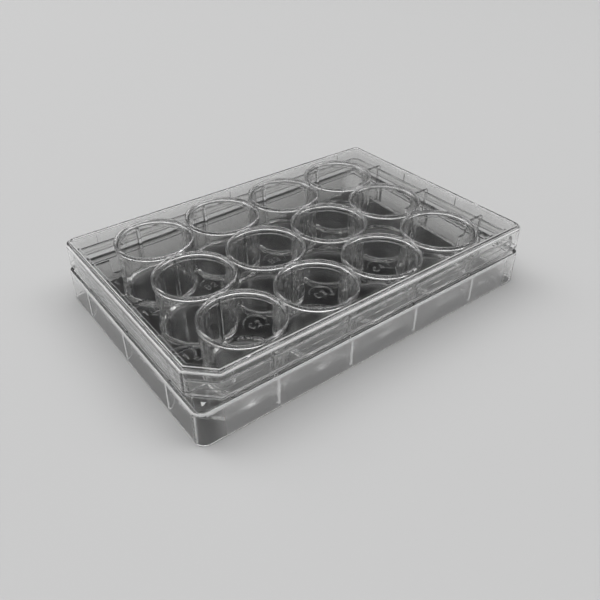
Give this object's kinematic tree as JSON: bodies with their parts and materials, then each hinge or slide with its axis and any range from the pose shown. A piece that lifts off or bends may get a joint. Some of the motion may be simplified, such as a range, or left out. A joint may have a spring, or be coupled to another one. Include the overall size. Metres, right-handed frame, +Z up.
{
  "type": "well plate",
  "caption": "Clear multiwell culture plate with round flat-bottomed wells in a stepped skirt, and a shallow loose lid with one cut corner.",
  "frame": {"origin": "middle of the footprint, on the surface that the skirt stands on", "axes": "+X along the rows from column 1 to column 4, +Y across the rows towards row A, +Z up out of the wells' mouths; the cut corner is at -X, -Y"},
  "size_m": [0.1278, 0.0854, 0.0222],
  "materials": {
    "clear_plate": "clear injection-moulded polystyrene, polished, with lightly frosted skirt faces",
    "clear_lid": "clear injection-moulded polystyrene, polished"
  },
  "bodies": {
    "root": {"plate": "clear_plate", "lid": "clear_lid"}
  },
  "joints": []
}
